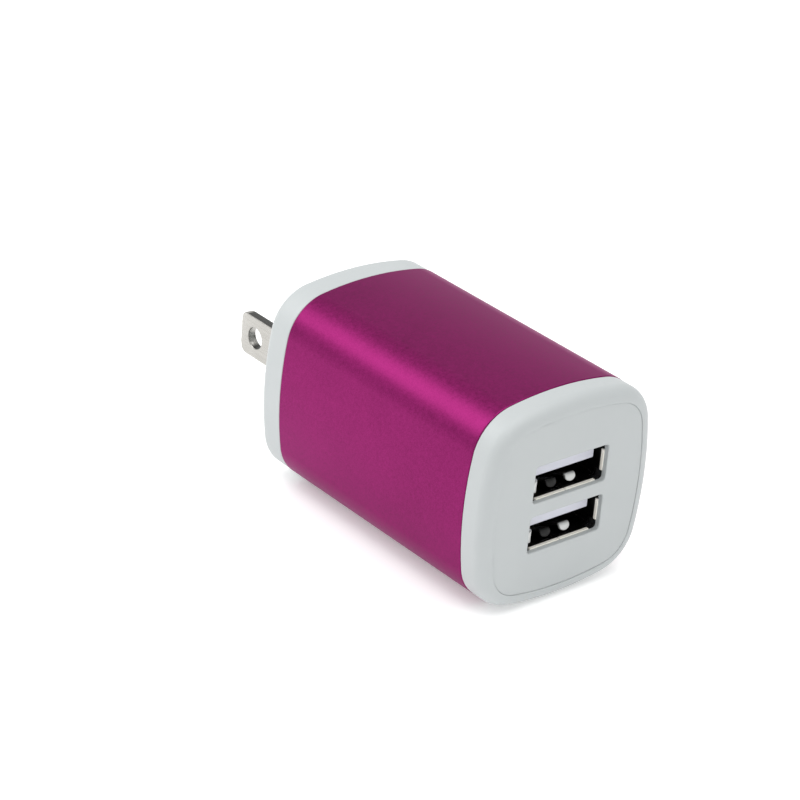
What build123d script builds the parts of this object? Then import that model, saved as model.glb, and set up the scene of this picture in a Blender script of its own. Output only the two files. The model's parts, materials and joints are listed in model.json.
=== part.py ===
from build123d import *
import os
from math import atan2, degrees, sqrt

# Two-port USB wall charger with a fixed two-blade plug, in millimetres.
# X runs across the ports and from blade to blade. Y runs from the port face at the front to the blades
# at the rear. Z is up. The charger lies on one side, as it also sits in a wall outlet, and the origin is
# on the surface under it, below the middle of its bounding box.
# Depths are measured from the port face towards the blades, and heights from the body's long axis.

# ---- body ----
body_side = 29.7  # width and height of the section, from flat to flat
side_radius = 50.0  # bow of the four sides
corner_radius = 7.0
port_cap_depth = 4.2  # white ring seen at the port end
sleeve_length = 39.1
plug_cap_depth = 4.45  # white ring seen at the plug end
cap_setback = 0.05  # the caps lie this far inside the sleeve's outer surface
joint_chamfer = 0.15  # broken edge on both sides of each joint line
port_edge_radius = 1.9
plug_edge_radius = 1.25
sleeve_wall = 0.8
housing_gap = 0.1  # between the sleeve and the inner housing
housing_wall = 1.2
spigot_gap = 0.1  # between the inner housing and the spigots of the caps
spigot_wall = 1.2
spigot_length = 3.2
plug_wall = 2.6  # end wall that holds the blades
port_web = 1.4  # wall behind the face plate that holds the sockets

# ---- face plate ----
plate_inset = 2.1  # from the sleeve's outer surface to the edge of the plate's pocket
plate_gap = 0.12  # fine groove round the plate
plate_recess = 0.1
plate_thickness = 0.8
plate_edge_chamfer = 0.12
window_margin = 0.15  # the windows are this much larger than the socket's opening, on each side
window_corner_radius = 0.5

# ---- plug blades ----
blade_spacing = 12.7
blade_width = 6.35
blade_thickness = 1.45
blade_length = 15.6
blade_hole_diameter = 3.2
blade_hole_distance = 11.9  # from the wall face
blade_tip_taper = 1.5  # length of the thinned tip
blade_tip_thickness = 0.75
blade_tip_radius = 1.6
shoulder_width = 8.6
shoulder_depth = 1.8
retainer_thickness = 1.4
tail_width = 4.0
tail_reach = 2.6  # past the retainer

# ---- USB-A sockets ----
socket_pitch = 7.45
opening_width = 12.5
opening_height = 5.12
opening_corner_radius = 0.3
shell_sheet = 0.3
shell_depth = 14.0
shell_seam = 0.08  # butt joint of the folded sheet, in the bottom wall
shell_gap = 0.1  # round the shell in the port web
shell_leg_width = 1.6
shell_notch = 1.3  # the folded corners stand back by this much, over this width
finger_length = 3.2
finger_rise = 1.5
finger_crest = 0.4  # behind the tip
finger_lift = 0.5  # of the free tip from the wall
finger_bend = 0.35
finger_width = 1.7
finger_slot = 0.25
bottom_finger_start = 1.0  # behind the shell's front edge
side_finger_start = 0.1  # the left wall has the only side finger
bottom_finger_offset = 1.7
side_finger_drop = 0.85  # below the socket's middle, clear of the tongue
tongue_width = 11.1
tongue_thickness = 1.84
tongue_drop = 0.66  # from the top wall to the tongue
tongue_setback = 2.0  # from the port face to the tongue's tip
tongue_tip_chamfer = 0.15
socket_depth = 12.0  # from the port face to the bottom of the socket
contact_width = 1.0
contact_thickness = 0.3
contact_proud = 0.05
contact_setback = 0.9  # from the tongue's tip
contact_places = (-3.5, -1.0, 1.0, 3.5)

# ---- boards ----
usb_board_side = 20.6
usb_board_thickness = 1.2
main_board_thickness = 1.6
board_standoff = 2.85  # from the housing's floor to the main board's underside
board_side_gap = 0.15
board_end_gap = 0.3
boards_gap = 0.6
rail_reach = 0.8
rail_height = 0.9
lead_tail = 0.8  # leads stick out this far under the main board
lead_rail_gap = 0.4

# ---- board parts ----
part_gap = 0.3
output_capacitor_diameter = 5.0
output_capacitor_height = 11.0
bulk_capacitor_diameter = 8.0
bulk_capacitor_height = 13.0
filter_capacitor_diameter = 5.0
filter_capacitor_height = 12.0
capacitor_edge_radius = 0.5
capacitor_lead_spacing = 2.0
lead_diameter = 0.6
core_width = 11.0
core_depth = 9.6
core_thickness = 5.0
core_leg = 1.6
core_centre_leg = 3.0
bobbin_wall = 0.4
winding_thickness = 1.45
tape_thickness = 0.15
foot_height = 3.4
transformer_pin_side = 0.6
transformer_pin_spacing = 2.2
barrier_thickness = 0.2
barrier_height = 17.0
header_pin_side = 0.5
header_pitch = 2.0
header_pins_count = 5
spring_sheet = 0.4
spring_width = 2.0
spring_arm_height = 3.0
choke_diameter = 4.0
choke_flange = 0.9
choke_height = 7.0
choke_core_diameter = 2.2
choke_lead_spacing = 1.6
resistor_diameter = 2.6
resistor_length = 8.5
resistor_lift = 1.0
disc_diameter = 6.4
disc_thickness = 2.2
disc_lift = 1.0
diode_size = (4.3, 2.4, 2.3)
bridge_size = (4.7, 4.0, 1.6)
controller_size = (3.9, 4.9, 1.5)
transistor_size = (3.5, 5.9, 1.6)
port_controller_size = (2.9, 1.1, 1.6)
chip_lead_size = (0.9, 0.4, 0.2)
chip_lead_pitch = 1.27
resistor_chip_size = (1.6, 0.8, 0.5)
capacitor_chip_size = (1.6, 0.8, 0.8)
chips_in_a_row = 5

# ---- derived places ----
body_half = body_side / 2
body_depth = port_cap_depth + sleeve_length + plug_cap_depth
front_y = -(body_depth + blade_length) / 2
sleeve_end = port_cap_depth + sleeve_length
housing_inset = sleeve_wall + housing_gap
housing_inner_inset = housing_inset + housing_wall
spigot_inset = housing_inner_inset + spigot_gap
spigot_inner_inset = spigot_inset + spigot_wall
plate_back = plate_recess + plate_thickness
web_back = plate_back + port_web
plug_wall_inside = body_depth - plug_wall

side_centre = body_half - side_radius
arc_reach = side_radius - corner_radius
corner_centre = (side_centre + sqrt(2 * arc_reach**2 - side_centre**2)) / 2
meeting_angle = degrees(atan2(corner_centre, corner_centre - side_centre))

usb_board_start = plate_back + shell_depth + board_end_gap
usb_board_end = usb_board_start + usb_board_thickness
main_board_start = usb_board_end + boards_gap
main_board_end = sleeve_end - spigot_length - board_end_gap
main_board_under = housing_inner_inset - body_half + board_standoff
main_board_top = main_board_under + main_board_thickness

shell_width = opening_width + 2 * shell_sheet
shell_height = opening_height + 2 * shell_sheet
tongue_top = opening_height / 2 - tongue_drop
tongue_under = tongue_top - tongue_thickness


def half_width_at(inset, height):
    """Half width of the section's outline, moved inward by inset, at one height."""
    if abs(height) > corner_centre:
        radius = corner_radius - inset
        return corner_centre + sqrt(radius**2 - (abs(height) - corner_centre) ** 2)
    return side_centre + sqrt((side_radius - inset) ** 2 - height**2)


def at_depth(depth):
    """The plane across the body at one depth, with X and Z as its axes."""
    return Plane(origin=(0, front_y + depth, body_half), x_dir=(1, 0, 0), z_dir=(0, -1, 0))


def run_back(profile, start, length):
    return extrude(at_depth(start) * profile, amount=-length)


def section(inset, start, length):
    """A solid with the body's outline, moved inward by inset."""
    arcs = []
    for quarter in range(4):
        side = CenterArc((side_centre, 0), side_radius - inset, -meeting_angle, 2 * meeting_angle)
        corner = CenterArc(
            (corner_centre, corner_centre), corner_radius - inset, meeting_angle, 90 - 2 * meeting_angle
        )
        arcs += [side.rotate(Axis.Z, 90 * quarter), corner.rotate(Axis.Z, 90 * quarter)]
    return run_back(make_face(arcs), start, length)


def tube(inset, wall, start, length):
    return section(inset, start, length) - section(inset + wall, start, length)


def block(width, depth, height, x, start, low):
    """A box centred on x, from one depth and one height."""
    place = Pos(x, front_y + start + depth / 2, body_half + low + height / 2)
    return place * Box(width, depth, height)


def upright(diameter, height, x, depth, low):
    """A standing cylinder."""
    return Pos(x, front_y + depth, body_half + low + height / 2) * Cylinder(diameter / 2, height)


def end_edges(shape, last):
    """The edges of the face at the front or at the rear."""
    return shape.faces().sort_by(Axis.Y)[-1 if last else 0].edges()


# ---- casing ----
def make_sleeve():
    outer = section(0, port_cap_depth, sleeve_length)
    outer = chamfer(end_edges(outer, False), joint_chamfer)
    outer = chamfer(end_edges(outer, True), joint_chamfer)
    return outer - section(sleeve_wall, port_cap_depth, sleeve_length)


def make_inner_housing():
    """The plastic tube inside the sleeve, with two pairs of rails for the main board."""
    housing = tube(housing_inset, housing_wall, port_cap_depth, sleeve_length)
    rail_length = main_board_end - main_board_start
    ring = tube(housing_inner_inset, rail_reach, main_board_start, rail_length)
    for low in (main_board_under - rail_height, main_board_top):
        housing += ring & block(body_side, rail_length, rail_height, 0, main_board_start, low)
    return housing


def make_port_end_cap():
    cap = section(cap_setback, 0, port_cap_depth)
    cap = fillet(end_edges(cap, False), port_edge_radius)
    cap = chamfer(end_edges(cap, True), joint_chamfer)
    cap -= section(plate_inset, 0, plate_back)
    cap += section(spigot_inset, port_cap_depth, spigot_length)
    cap -= section(spigot_inner_inset, web_back, port_cap_depth + spigot_length - web_back)
    hole = Rectangle(shell_width + 2 * shell_gap, shell_height + 2 * shell_gap)
    for height in socket_heights:
        cap -= run_back(Pos(0, height) * hole, plate_back, port_web)
    return cap


def make_port_face_plate():
    plate = section(plate_inset + plate_gap, plate_recess, plate_thickness)
    plate = chamfer(end_edges(plate, False), plate_edge_chamfer)
    window = RectangleRounded(
        opening_width + 2 * window_margin, opening_height + 2 * window_margin, window_corner_radius
    )
    for height in socket_heights:
        plate -= run_back(Pos(0, height) * window, plate_recess, plate_thickness)
    return plate


def make_plug_end_cap():
    cap = section(cap_setback, sleeve_end, plug_cap_depth)
    cap = fillet(end_edges(cap, True), plug_edge_radius)
    cap = chamfer(end_edges(cap, False), joint_chamfer)
    cap += section(spigot_inset, sleeve_end - spigot_length, spigot_length)
    inside = sleeve_end - spigot_length
    cap -= section(spigot_inner_inset, inside, plug_wall_inside - inside)
    for x in blade_places:
        cap -= block(blade_thickness, plug_wall, blade_width, x, plug_wall_inside, -blade_width / 2)
    return cap


# ---- plug ----
retainer_start = plug_wall_inside - shoulder_depth - retainer_thickness


def make_blade(x):
    """A blade with a rounded and thinned tip, a hole, a shoulder behind the wall and a tail."""
    prong_length = plug_wall + blade_length
    broad = run_back(Rectangle(blade_thickness, blade_width), plug_wall_inside, prong_length)
    tip_corners = broad.edges().filter_by(Axis.X).group_by(Axis.Y)[-1]
    broad = fillet(tip_corners, blade_tip_radius)
    half, tip_half = blade_thickness / 2, blade_tip_thickness / 2
    base, bend = plug_wall_inside, body_depth + blade_length - blade_tip_taper
    tip = body_depth + blade_length
    right_side = [(half, base), (half, bend), (tip_half, tip)]
    left_side = [(-tip_half, tip), (-half, bend), (-half, base)]
    outline = Polyline(*right_side, *left_side, close=True)
    side = extrude(Pos(0, front_y, body_half - blade_width / 2) * make_face(outline), amount=blade_width)
    blade = broad & side
    hole = Pos(0, front_y + body_depth + blade_hole_distance, body_half) * Rot(0, 90, 0)
    blade -= hole * Cylinder(blade_hole_diameter / 2, 2 * blade_thickness)
    shoulder_start = plug_wall_inside - shoulder_depth
    blade += block(blade_thickness, shoulder_depth, shoulder_width, 0, shoulder_start, -shoulder_width / 2)
    tail_length = retainer_thickness + tail_reach
    tail_start = shoulder_start - tail_length
    blade += block(blade_thickness, tail_length, tail_width, 0, tail_start, -tail_width / 2)
    return Pos(x, 0, 0) * blade


def make_blade_retainer():
    """The plate that locks both blade shoulders against the end wall."""
    plate = section(spigot_inner_inset, retainer_start, retainer_thickness)
    for x in blade_places:
        plate -= block(blade_thickness, retainer_thickness, tail_width, x, retainer_start, -tail_width / 2)
    return plate


def spring_place(side):
    """x of a contact spring's middle: it lies against the blade's inner face."""
    return side * (blade_spacing / 2 - blade_thickness / 2 - spring_sheet / 2)


def make_contact_spring(side):
    x = spring_place(side)
    foot_start = main_board_end - board_end_gap - spring_width
    arm_start = foot_start
    arm_end = retainer_start - board_end_gap
    top = spring_arm_height / 2
    post = block(spring_sheet, spring_width, top - main_board_top, x, foot_start, main_board_top)
    arm = block(spring_sheet, arm_end - arm_start, spring_arm_height, x, arm_start, -top)
    return post + arm + spring_leg(side)


def spring_leg(side):
    foot_start = main_board_end - board_end_gap - spring_width
    length = main_board_thickness + lead_tail
    return block(
        spring_sheet, spring_width / 2, length, spring_place(side), foot_start, main_board_under - lead_tail
    )


# ---- sockets ----
def make_finger(inner_distance, start):
    """A strip that rises from its root to a crest and turns down to a free tip near the mouth."""
    end = start + finger_length
    level = -inner_distance - shell_sheet / 2
    tip = (start, level + finger_lift)
    crest = (start + finger_crest, level + finger_rise)
    path = FilletPolyline(tip, crest, (end, level), radius=finger_bend)
    face = trace(path, line_width=shell_sheet)
    upright_plane = Plane(origin=(-finger_width / 2, front_y, 0), x_dir=(0, 1, 0), z_dir=(1, 0, 0))
    return extrude(upright_plane * face, amount=finger_width)


def finger_window(inner_distance, finger_tip):
    start = finger_tip - finger_slot
    depth = finger_length + finger_slot
    place = Pos(0, front_y + start + depth / 2, -inner_distance - shell_sheet / 2)
    return place * Box(finger_width + 2 * finger_slot, depth, 2 * shell_sheet)


def shell_legs(height):
    length = board_end_gap + usb_board_thickness + lead_tail
    start = plate_back + shell_depth
    reach = (shell_width - shell_sheet) / 2
    legs = [
        block(shell_sheet, length, shell_leg_width, side * reach, start, height - shell_leg_width / 2)
        for side in (-1, 1)
    ]
    return legs


def make_usb_shell(height):
    outer = RectangleRounded(shell_width, shell_height, opening_corner_radius + shell_sheet)
    inner = RectangleRounded(opening_width, opening_height, opening_corner_radius)
    shell = run_back(Pos(0, height) * (outer - inner), plate_back, shell_depth)
    shell -= block(shell_seam, shell_depth, shell_sheet, 0, plate_back, height - shell_height / 2)
    centre = Pos(0, 0, body_half + height)
    for side in (-1, 1):
        for end in (-1, 1):
            place = Pos(side * shell_width / 2, front_y + plate_back, end * shell_height / 2)
            shell -= centre * place * Box(2 * shell_notch, 2 * shell_notch, 2 * shell_notch)
    for side in (-1, 1):
        bottom = Pos(side * bottom_finger_offset, 0, 0)
        start = plate_back + bottom_finger_start
        shell -= centre * bottom * finger_window(opening_height / 2, start)
        shell += centre * bottom * make_finger(opening_height / 2, start)
    left_wall = Rot(0, 90, 0) * Pos(side_finger_drop, 0, 0)
    start = plate_back + side_finger_start
    shell -= centre * left_wall * finger_window(opening_width / 2, start)
    shell += centre * left_wall * make_finger(opening_width / 2, start)
    for leg in shell_legs(height):
        shell += leg
    return shell


def make_usb_contacts(height):
    """Four flat contacts along the tongue, with straight tails through the board."""
    start = tongue_setback + contact_setback
    length = usb_board_end + lead_tail - start
    low = height + tongue_under - contact_proud
    return [block(contact_width, length, contact_thickness, x, start, low) for x in contact_places]


def make_usb_insulator(height):
    """The tongue and the block behind it, with the contacts let into them."""
    base = Pos(0, height) * RectangleRounded(opening_width, opening_height, opening_corner_radius)
    insulator = run_back(base, socket_depth, plate_back + shell_depth - socket_depth)
    tongue_length = socket_depth - tongue_setback
    tongue = block(
        tongue_width, tongue_length, tongue_thickness, 0, tongue_setback, height + tongue_under
    )
    tip_edges = tongue.edges().filter_by(Axis.X).group_by(Axis.Y)[0]
    tongue = chamfer(tip_edges, tongue_tip_chamfer)
    insulator += tongue
    for contact in make_usb_contacts(height):
        insulator -= contact
    return insulator


# ---- boards and their parts ----
parts_start = main_board_start + header_pin_side + 2 * part_gap
output_capacitor_depth = parts_start + output_capacitor_diameter / 2
barrier_start = output_capacitor_depth + output_capacitor_diameter / 2 + part_gap
rail_inset = housing_inner_inset + rail_reach
lead_limit = half_width_at(rail_inset, main_board_under - lead_tail) - lead_rail_gap
pin_reach = 1.5 * transformer_pin_spacing + transformer_pin_side / 2
transformer_x = lead_limit - pin_reach
transformer_depth = barrier_start + barrier_thickness + part_gap + core_depth / 2
transformer_end = transformer_depth + core_depth / 2
transformer_height = main_board_top + foot_height + core_thickness / 2
output_capacitor_places = (-output_capacitor_diameter - part_gap, 0)
bulk_capacitor_x = bulk_capacitor_diameter / 2 + part_gap - half_width_at(rail_inset, main_board_top)
bulk_capacitor_depth = barrier_start + barrier_thickness + part_gap + bulk_capacitor_diameter / 2
filter_capacitor_depth = transformer_end + part_gap + filter_capacitor_diameter / 2
choke_x = (lead_diameter + choke_lead_spacing) / 2 - lead_limit
choke_depth = bulk_capacitor_depth + (bulk_capacitor_diameter + choke_diameter) / 2 + part_gap
resistor_x = lead_limit - lead_diameter / 2
resistor_depth = transformer_end + part_gap + resistor_diameter / 2
disc_x = output_capacitor_diameter / 2 + part_gap + disc_diameter / 2
disc_depth = parts_start + disc_thickness / 2
diode_start = disc_depth + disc_thickness / 2 + part_gap


lead_clear = lead_diameter / 2 + part_gap
controller_half_span = controller_size[0] / 2 + chip_lead_size[0]
controller_x = controller_half_span - lead_limit
chip_row_x = controller_x + controller_half_span + part_gap + resistor_chip_size[0] / 2


def board_lead(x, depth, top):
    """A round lead from under the main board up to one height."""
    low = main_board_under - lead_tail
    return upright(lead_diameter, top - low, x, depth, low)


def lead_pair(x, depth, top, spacing):
    return [board_lead(x - spacing / 2, depth, top), board_lead(x + spacing / 2, depth, top)]


def make_capacitor(diameter, height, x, depth):
    can = upright(diameter, height, x, depth, main_board_top)
    rims = can.edges().filter_by(GeomType.CIRCLE)
    can = fillet(rims, capacitor_edge_radius)
    for lead in lead_pair(x, depth, main_board_top + capacitor_edge_radius, capacitor_lead_spacing):
        can += lead
    return can


capacitors = {
    "output_capacitor_a": (
        output_capacitor_diameter, output_capacitor_height, output_capacitor_places[0], output_capacitor_depth
    ),
    "output_capacitor_b": (
        output_capacitor_diameter, output_capacitor_height, output_capacitor_places[1], output_capacitor_depth
    ),
    "bulk_capacitor": (
        bulk_capacitor_diameter, bulk_capacitor_height, bulk_capacitor_x, bulk_capacitor_depth
    ),
    "filter_capacitor": (
        filter_capacitor_diameter, filter_capacitor_height, 0, filter_capacitor_depth
    ),
}


def make_transformer_core():
    """Two ferrite E halves that meet at mid depth."""
    half_depth = core_depth / 2
    low = transformer_height - core_thickness / 2
    start = transformer_depth - half_depth
    core = block(core_width, core_depth, core_thickness, transformer_x, start, low)
    window_width = (core_width - core_centre_leg) / 2 - core_leg
    window_depth = core_depth - 2 * core_leg
    for side in (-1, 1):
        x = transformer_x + side * (core_centre_leg + window_width) / 2
        core -= block(window_width, window_depth, core_thickness, x, start + core_leg, low)
    halves = [
        core & block(core_width, half_depth, core_thickness, transformer_x, at, low)
        for at in (start, transformer_depth)
    ]
    return halves


def coil_layer(inner, outer, length):
    """A square tube round the core's centre leg: inner and outer are distances from the leg."""
    start = transformer_depth - length / 2
    solids = []
    for distance in (outer, inner):
        width = core_centre_leg + 2 * distance
        height = core_thickness + 2 * distance
        solids.append(block(width, length, height, transformer_x, start, transformer_height - height / 2))
    return solids[0] - solids[1]


coil_length = core_depth - 2 * core_leg
winding_length = coil_length - 2 * bobbin_wall
winding_outer = bobbin_wall + winding_thickness


def make_transformer_pins():
    pins = []
    length = foot_height / 2 + main_board_thickness + lead_tail
    low = main_board_under - lead_tail
    for end in (-1, 1):
        depth = transformer_depth + end * (core_depth - core_leg) / 2
        for place in (-1.5, -0.5, 0.5, 1.5):
            x = transformer_x + place * transformer_pin_spacing
            side = transformer_pin_side
            pins.append(block(side, side, length, x, depth - side / 2, low))
    return pins


def make_transformer_bobbin():
    bobbin = coil_layer(0, bobbin_wall, coil_length)
    flange_distance = winding_outer + tape_thickness
    foot_depth = core_leg + bobbin_wall
    for end in (-1, 1):
        flange = coil_layer(0, flange_distance, coil_length)
        middle = transformer_depth + end * (coil_length - bobbin_wall) / 2
        cut = block(core_width, bobbin_wall, body_side, transformer_x, middle - bobbin_wall / 2, -body_half)
        bobbin += flange & cut
        foot_middle = transformer_depth + end * (core_depth - foot_depth) / 2
        foot_start = foot_middle - foot_depth / 2
        bobbin += block(core_width, foot_depth, foot_height, transformer_x, foot_start, main_board_top)
    for pin in make_transformer_pins():
        bobbin -= pin
    return bobbin


def make_insulating_barrier():
    width = 2 * (half_width_at(housing_inner_inset, main_board_top + rail_height) - part_gap - rail_reach)
    return block(width, barrier_thickness, barrier_height, 0, barrier_start, main_board_top)


def header_pin_places():
    middle = (header_pins_count - 1) / 2
    return [(count - middle) * header_pitch for count in range(header_pins_count)]


def make_header_pins():
    """Right-angled pins that join the two boards."""
    pins = []
    side = header_pin_side
    start = usb_board_start - lead_tail
    bend = main_board_start + part_gap
    level = -(socket_pitch + shell_height + header_pin_side) / 2 - part_gap
    for x in header_pin_places():
        pin = block(side, bend + side - start, side, x, start, level - side / 2)
        low = main_board_under - lead_tail
        pin += block(side, side, level + side / 2 - low, x, bend, low)
        pins.append(pin)
    return pins


def make_input_choke_core():
    """A ferrite drum on two leads."""
    low = main_board_top
    core = upright(choke_core_diameter, choke_height, choke_x, choke_depth, low)
    for at in (low, low + choke_height - choke_flange):
        core += upright(choke_diameter, choke_flange, choke_x, choke_depth, at)
    for lead in lead_pair(choke_x, choke_depth, low, choke_lead_spacing):
        core += lead
    return core


def make_input_choke_winding():
    low, height = main_board_top + choke_flange, choke_height - 2 * choke_flange
    outer = upright(choke_diameter - 2 * tape_thickness, height, choke_x, choke_depth, low)
    return outer - upright(choke_core_diameter, height, choke_x, choke_depth, low)


def make_fusible_resistor():
    low = main_board_top + resistor_lift
    body = upright(resistor_diameter, resistor_length, resistor_x, resistor_depth, low)
    body = fillet(body.edges().filter_by(GeomType.CIRCLE), capacitor_edge_radius)
    return body + board_lead(resistor_x, resistor_depth, low + capacitor_edge_radius)


def make_safety_capacitor():
    """A ceramic disc standing on edge, facing the USB board."""
    height = main_board_top + disc_lift + disc_diameter / 2
    place = Pos(disc_x, front_y + disc_depth, body_half + height) * Rot(90, 0, 0)
    disc = place * Cylinder(disc_diameter / 2, disc_thickness)
    disc = fillet(disc.edges().filter_by(GeomType.CIRCLE), capacitor_edge_radius)
    for lead in lead_pair(disc_x, disc_depth, height, disc_diameter / 2):
        disc += lead
    return disc


def make_chip(size, x, start, under_board, rows=0):
    """A moulded package on or under the main board, with rows of flat leads at its sides."""
    width, depth, height = size
    low = main_board_under - height if under_board else main_board_top
    chip = block(width, depth, height, x, start, low)
    lead_reach, lead_width, lead_thickness = chip_lead_size
    lead_low = main_board_under - lead_thickness if under_board else main_board_top
    for row in range(rows):
        at = start + depth / 2 + (row - (rows - 1) / 2) * chip_lead_pitch
        span = width + 2 * lead_reach
        chip += block(span, lead_width, lead_thickness, x, at - lead_width / 2, lead_low)
    return chip


def make_port_controller():
    """The small chip on the rear of the USB board, between the two sockets."""
    return block(*port_controller_size, 0, usb_board_end, -port_controller_size[2] / 2)


def make_chip_row(size, x):
    """Small chip parts in a row under the main board."""
    width, depth, height = size
    step = 2 * depth
    first = transformer_depth - (chips_in_a_row - 1) * step / 2 - depth / 2
    low = main_board_under - height
    return [block(width, depth, height, x, first + place * step, low) for place in range(chips_in_a_row)]


def make_usb_board():
    start, side = usb_board_start, usb_board_side
    board = run_back(RectangleRounded(side, side, capacitor_edge_radius), start, usb_board_thickness)
    for height in socket_heights:
        for piece in shell_legs(height) + make_usb_contacts(height):
            board -= piece
    for pin in make_header_pins():
        board -= pin
    return board


def make_main_board():
    half_width = half_width_at(housing_inner_inset, main_board_under) - board_side_gap
    length = main_board_end - main_board_start
    board = block(2 * half_width, length, main_board_thickness, 0, main_board_start, main_board_under)
    leads = make_transformer_pins() + make_header_pins()
    for diameter, height, x, depth in capacitors.values():
        leads += lead_pair(x, depth, main_board_top, capacitor_lead_spacing)
    leads += lead_pair(choke_x, choke_depth, main_board_top, choke_lead_spacing)
    leads += lead_pair(disc_x, disc_depth, main_board_top, disc_diameter / 2)
    leads.append(board_lead(resistor_x, resistor_depth, main_board_top))
    leads += [spring_leg(-1), spring_leg(1)]
    for lead in leads:
        board -= lead
    return board


socket_heights = (-socket_pitch / 2, socket_pitch / 2)
blade_places = (-blade_spacing / 2, blade_spacing / 2)

nodes = {
    "sleeve": make_sleeve(),
    "inner_housing": make_inner_housing(),
    "port_end_cap": make_port_end_cap(),
    "port_face_plate": make_port_face_plate(),
    "plug_end_cap": make_plug_end_cap(),
    "blade_line": make_blade(blade_places[1]),
    "blade_neutral": make_blade(blade_places[0]),
    "blade_retainer": make_blade_retainer(),
    "contact_spring_line": make_contact_spring(1),
    "contact_spring_neutral": make_contact_spring(-1),
    "main_board": make_main_board(),
    "usb_board": make_usb_board(),
    "board_header_pins": make_header_pins(),
    "transformer_core": make_transformer_core(),
    "transformer_bobbin": make_transformer_bobbin(),
    "transformer_winding": coil_layer(bobbin_wall, winding_outer, winding_length),
    "transformer_tape": coil_layer(winding_outer, winding_outer + tape_thickness, winding_length),
    "transformer_pins": make_transformer_pins(),
    "insulating_barrier": make_insulating_barrier(),
    "input_choke_core": make_input_choke_core(),
    "input_choke_winding": make_input_choke_winding(),
    "fusible_resistor": make_fusible_resistor(),
    "safety_capacitor": make_safety_capacitor(),
    "output_diode": make_chip(diode_size, disc_x, diode_start, False, 1),
    "bridge_rectifier": make_chip(
        bridge_size, transformer_x, transformer_depth - bridge_size[1] / 2, True, 2
    ),
    "controller_chip": make_chip(
        controller_size, controller_x, bulk_capacitor_depth + lead_clear, True, 3
    ),
    "switching_transistor": make_chip(
        transistor_size, controller_x, bulk_capacitor_depth - lead_clear - transistor_size[1], True, 1
    ),
    "port_controller_chip": make_port_controller(),
    "chip_resistors": make_chip_row(resistor_chip_size, chip_row_x),
    "chip_capacitors": make_chip_row(capacitor_chip_size, chip_row_x + resistor_chip_size[0] + part_gap),
}
for name, height in zip(("usb_lower", "usb_upper"), socket_heights):
    nodes[name + "_shell"] = make_usb_shell(height)
    nodes[name + "_insulator"] = make_usb_insulator(height)
    nodes[name + "_contacts"] = make_usb_contacts(height)
for name, values in capacitors.items():
    nodes[name] = make_capacitor(*values)

os.makedirs("parts", exist_ok=True)
for name, shape in nodes.items():
    solids = shape if isinstance(shape, list) else [shape]
    export_step(Compound(children=[Compound(solid.wrapped) for solid in solids]), f"parts/{name}.step")
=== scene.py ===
import json
import math

import bmesh
import bpy
from mathutils import Matrix, Vector


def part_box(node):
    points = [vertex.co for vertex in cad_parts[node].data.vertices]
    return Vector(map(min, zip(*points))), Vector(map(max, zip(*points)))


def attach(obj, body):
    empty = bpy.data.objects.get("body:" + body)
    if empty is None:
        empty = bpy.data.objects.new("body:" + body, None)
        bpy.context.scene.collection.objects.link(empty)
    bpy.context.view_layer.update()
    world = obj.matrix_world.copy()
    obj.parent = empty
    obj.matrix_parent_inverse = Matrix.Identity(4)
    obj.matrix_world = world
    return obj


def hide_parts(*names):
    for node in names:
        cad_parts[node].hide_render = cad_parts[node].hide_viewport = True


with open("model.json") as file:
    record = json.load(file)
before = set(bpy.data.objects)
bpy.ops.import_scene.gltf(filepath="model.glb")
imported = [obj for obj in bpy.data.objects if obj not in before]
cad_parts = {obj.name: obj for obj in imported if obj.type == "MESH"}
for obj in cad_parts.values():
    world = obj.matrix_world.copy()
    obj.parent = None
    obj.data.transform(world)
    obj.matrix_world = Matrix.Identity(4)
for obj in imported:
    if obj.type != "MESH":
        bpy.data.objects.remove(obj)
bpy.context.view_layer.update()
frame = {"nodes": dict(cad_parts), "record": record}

# A two-port USB wall charger, lying on one side. Lengths are in metres, and MM turns millimetres into them.
# X runs across the ports, Y from the port face to the plug blades, and Z up.
MM = 0.001


def node_box(name):
    """Lowest and highest corner of a CAD node."""
    low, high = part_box(name)
    return Vector(low), Vector(high)


# ---- places and sizes, read from the frame ----
sleeve_low, sleeve_high = node_box("sleeve")
port_low, port_high = node_box("port_end_cap")
plug_low, plug_high = node_box("plug_end_cap")
plate_low, plate_high = node_box("port_face_plate")
blade_low, blade_high = node_box("blade_line")
upper_low, upper_high = node_box("usb_upper_shell")
lower_low, lower_high = node_box("usb_lower_shell")
insert_low, insert_high = node_box("usb_upper_insulator")
strip_low, strip_high = node_box("usb_upper_contacts")

BODY_HALF = round((sleeve_high.x - sleeve_low.x) / 2 / MM, 2) * MM
AXIS_Z = (sleeve_low.z + sleeve_high.z) / 2
FRONT_Y = port_low.y
PORT_JOINT_Y = sleeve_low.y
PLUG_JOINT_Y = sleeve_high.y
REAR_Y = plug_high.y
SIDE_RADIUS = 50.0 * MM
CORNER_RADIUS = 7.0 * MM
SLEEVE_WALL = 0.8 * MM
CAP_SETBACK = 0.05 * MM
JOINT_CHAMFER = 0.16 * MM
PORT_EDGE_RADIUS = 1.9 * MM
PLUG_EDGE_RADIUS = 1.25 * MM
SPIGOT_INSET = 2.2 * MM
SPIGOT_WALL = 1.2 * MM
SPIGOT_LENGTH = port_high.y - PORT_JOINT_Y
PLUG_WALL = 2.6 * MM
PORT_WEB = 1.4 * MM
WEB_HOLE_SLACK = 0.2 * MM
WEB_HOLE_CORNER = 0.2 * MM

PLATE_INSET = 2.1 * MM
PLATE_GAP = 0.025 * MM
PLATE_EDGE = 0.04 * MM
POCKET_EDGE = 0.085 * MM
WINDOW_WIDTH = 12.8 * MM
WINDOW_HEIGHT = 5.42 * MM
WINDOW_CORNER = 0.5 * MM
WINDOW_EDGE = 0.16 * MM

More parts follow.
